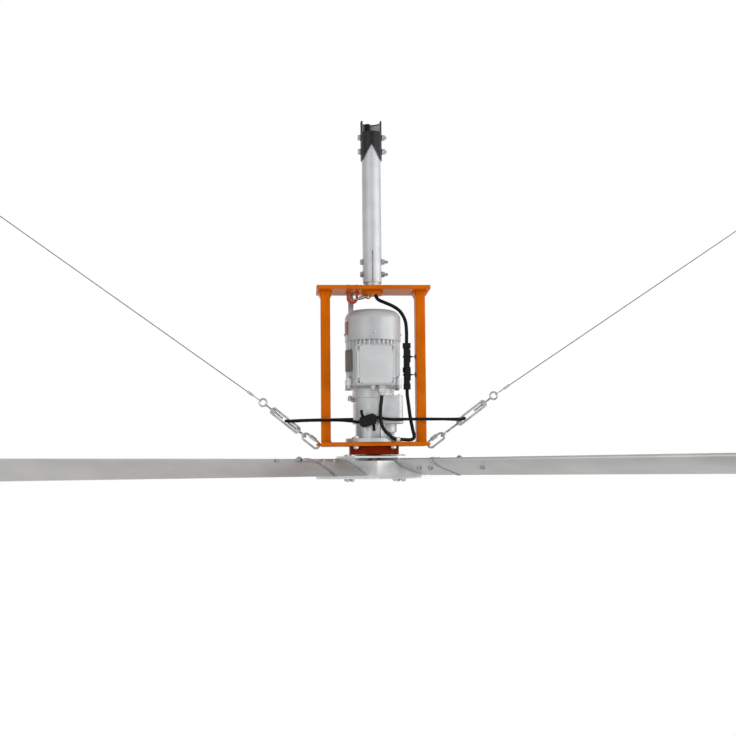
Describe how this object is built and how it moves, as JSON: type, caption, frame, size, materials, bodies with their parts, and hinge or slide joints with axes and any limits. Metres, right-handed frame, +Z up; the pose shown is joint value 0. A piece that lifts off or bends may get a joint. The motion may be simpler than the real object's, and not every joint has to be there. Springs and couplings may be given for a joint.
{
  "type": "industrial ceiling fan",
  "caption": "Large industrial ceiling fan: geared motor in an orange frame under a clamped down tube, guy wires with turnbuckles, and long hollow pitched blades.",
  "frame": {"origin": "middle of the cross hole through the hanger sleeve, on the fan axis", "axes": "+Z up along the fan axis, X along the hanger hole and the guy wires, -Y towards the terminal box"},
  "size_m": [2.4773, 2.2448, 1.1509],
  "materials": {
    "black_coated_steel": "black powder coat, satin",
    "drawn_aluminium_tube": "drawn tube, silver lacquer",
    "zinc_fasteners": "zinc plated",
    "machined_steel": "turned and ground",
    "orange_paint": "gloss orange powder coat",
    "red_brown_paint": "gloss orange-red powder coat in shade",
    "grey_motor_paint": "light grey motor paint",
    "die_cast_aluminium": "die cast, blasted",
    "electrical_steel": "laminated sheet",
    "copper_winding": "enamelled copper wire",
    "cream_plastic": "moulded block",
    "nickel_brass": "nickel plated",
    "bearing_steel": "ground and shielded",
    "black_rubber": "nitrile lip seal",
    "red_coated_steel": "orange-red powder coat",
    "zinc_hardware": "zinc plated forging",
    "black_cable": "black rubber sheath",
    "black_plastic": "moulded",
    "wire_rope": "galvanised strands",
    "black_rope": "plaited cord",
    "grey_plastic": "moulded",
    "gear_steel": "hobbed and ground",
    "rolled_aluminium": "rolled plate, mill finish",
    "anodised_aluminium": "extruded, satin anodised"
  },
  "bodies": {
    "root": {"hanger_sleeve": "black_coated_steel", "down_tube": "drawn_aluminium_tube", "tube_bolts": "zinc_fasteners", "tube_spigot": "machined_steel", "spigot_nut": "orange_paint", "top_plate": "orange_paint", "left_post": "orange_paint", "right_post": "orange_paint", "bottom_plate": "orange_paint", "shaft_guard": "red_brown_paint", "fan_cover": "grey_motor_paint", "motor_screws": "zinc_fasteners", "motor_housing": "grey_motor_paint", "upper_end_shield": "grey_motor_paint", "motor_adapter": "die_cast_aluminium", "stator_core": "electrical_steel", "stator_windings": "copper_winding", "terminal_box": "grey_motor_paint", "terminal_lid": "grey_motor_paint", "terminal_block": "cream_plastic", "cable_gland": "nickel_brass", "gearbox_housing": "die_cast_aluminium", "gearbox_bolts": "zinc_fasteners", "ball_bearings": "bearing_steel", "output_seal": "black_rubber", "safety_ubolt": "red_coated_steel", "safety_link": "zinc_hardware", "motor_strap": "zinc_hardware", "supply_lead": "black_cable", "lead_connectors": "black_plastic", "cable_ties": "black_plastic", "motor_lead": "black_cable", "quick_links": "zinc_hardware", "turnbuckle_bodies": "zinc_hardware", "turnbuckle_rods": "zinc_hardware", "guy_cable_left": "wire_rope", "guy_cable_right": "wire_rope", "guy_fittings": "zinc_hardware", "tie_rope": "black_rope", "rope_lock": "black_plastic"},
    "fan_rotor": {"output_shaft": "machined_steel", "output_gear": "gear_steel", "hub_flange": "black_coated_steel", "hub_top_plate": "rolled_aluminium", "hub_bottom_plate": "rolled_aluminium", "hub_retainer": "machined_steel", "hub_wedges": "rolled_aluminium", "blade_arms": "rolled_aluminium", "blade_1": "anodised_aluminium", "blade_2": "anodised_aluminium", "blade_3": "anodised_aluminium", "blade_4": "anodised_aluminium", "tip_caps": "grey_plastic", "rotor_bolts": "zinc_fasteners", "blade_straps": "zinc_hardware"},
    "layshaft_body": {"layshaft": "machined_steel", "layshaft_gear": "gear_steel"},
    "motor_rotor": {"motor_shaft": "machined_steel", "rotor_core": "electrical_steel", "cooling_fan": "grey_plastic"}
  },
  "joints": [
    {"name": "fan_spin", "type": "hinge", "parent": "root", "child": "fan_rotor", "pos_m": [0, 0, -0.98], "axis": [0, 0, 1], "continuous": true},
    {"name": "layshaft_spin", "type": "hinge", "parent": "root", "child": "layshaft_body", "pos_m": [0.04286, -0.02575, -0.92], "axis": [0, 0, 1], "continuous": true},
    {"name": "motor_spin", "type": "hinge", "parent": "root", "child": "motor_rotor", "pos_m": [0, 0, -0.77], "axis": [0, 0, 1], "continuous": true}
  ],
  "couplings": [
    {"joint": "layshaft_spin", "follows": "fan_spin", "ratio": -3.1667},
    {"joint": "motor_spin", "follows": "fan_spin", "ratio": 10.028}
  ]
}
